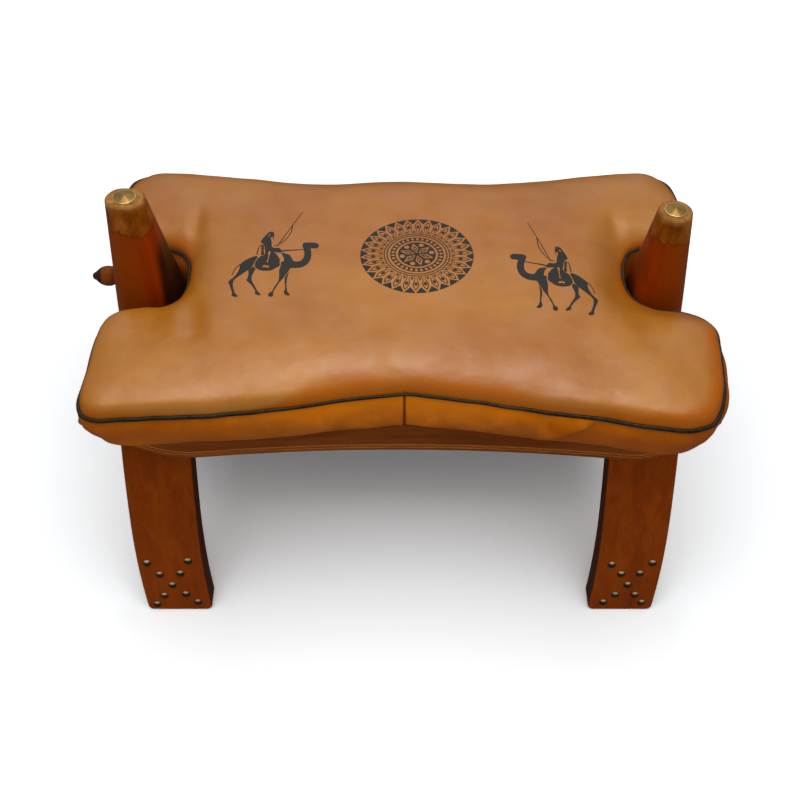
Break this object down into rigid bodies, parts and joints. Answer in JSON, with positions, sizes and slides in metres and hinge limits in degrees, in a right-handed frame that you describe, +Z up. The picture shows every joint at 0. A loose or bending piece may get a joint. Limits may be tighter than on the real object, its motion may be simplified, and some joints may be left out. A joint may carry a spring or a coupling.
{
  "type": "camel saddle stool",
  "caption": "Wooden saddle stool: two bowed arches with upright posts, side boards with turned knobs, and a loose piped leather cushion notched round the posts.",
  "frame": {"origin": "on the floor under the middle of the overall box", "axes": "+X along the stool to the right seen from the front, +Y to the back, +Z up"},
  "size_m": [0.66, 0.3775, 0.4342],
  "materials": {
    "leg_wood": "stained and waxed reddish brown, satin",
    "post_wood": "stained and waxed reddish brown, worn golden near the top",
    "board_wood": "stained dark brown, satin",
    "rail_wood": "oiled brown, matt",
    "peg_wood": "end grain, matt",
    "disc_brass": "spun, lightly tarnished",
    "nail_brass": "antique, tarnished",
    "tan_leather": "smooth, semi-gloss",
    "underside_leather": "matt",
    "black_piping": "satin",
    "stuffing": "raw cotton"
  },
  "bodies": {
    "frame": {"front_left_leg": "leg_wood", "front_left_foot_nails": "nail_brass", "front_right_leg": "leg_wood", "front_right_foot_nails": "nail_brass", "front_side_board": "board_wood", "front_board_pegs": "peg_wood", "front_seat_rail": "rail_wood", "front_rail_pegs": "peg_wood", "rear_left_leg": "leg_wood", "rear_left_foot_nails": "nail_brass", "rear_right_leg": "leg_wood", "rear_right_foot_nails": "nail_brass", "rear_side_board": "board_wood", "rear_board_pegs": "peg_wood", "rear_seat_rail": "rail_wood", "rear_rail_pegs": "peg_wood", "left_post": "post_wood", "left_post_pegs": "peg_wood", "left_post_disc": "disc_brass", "right_post": "post_wood", "right_post_pegs": "peg_wood", "right_post_disc": "disc_brass"},
    "cushion": {"cushion_left_boxing": "tan_leather", "cushion_right_boxing": "tan_leather", "cushion_top_panel": "tan_leather", "cushion_bottom_panel": "underside_leather", "cushion_filling": "stuffing", "cushion_piping": "black_piping"}
  },
  "joints": [
    {"name": "cushion_lift", "type": "slide", "parent": "frame", "child": "cushion", "axis": [0, 0, 1], "range_m": [0, 0.2]}
  ]
}
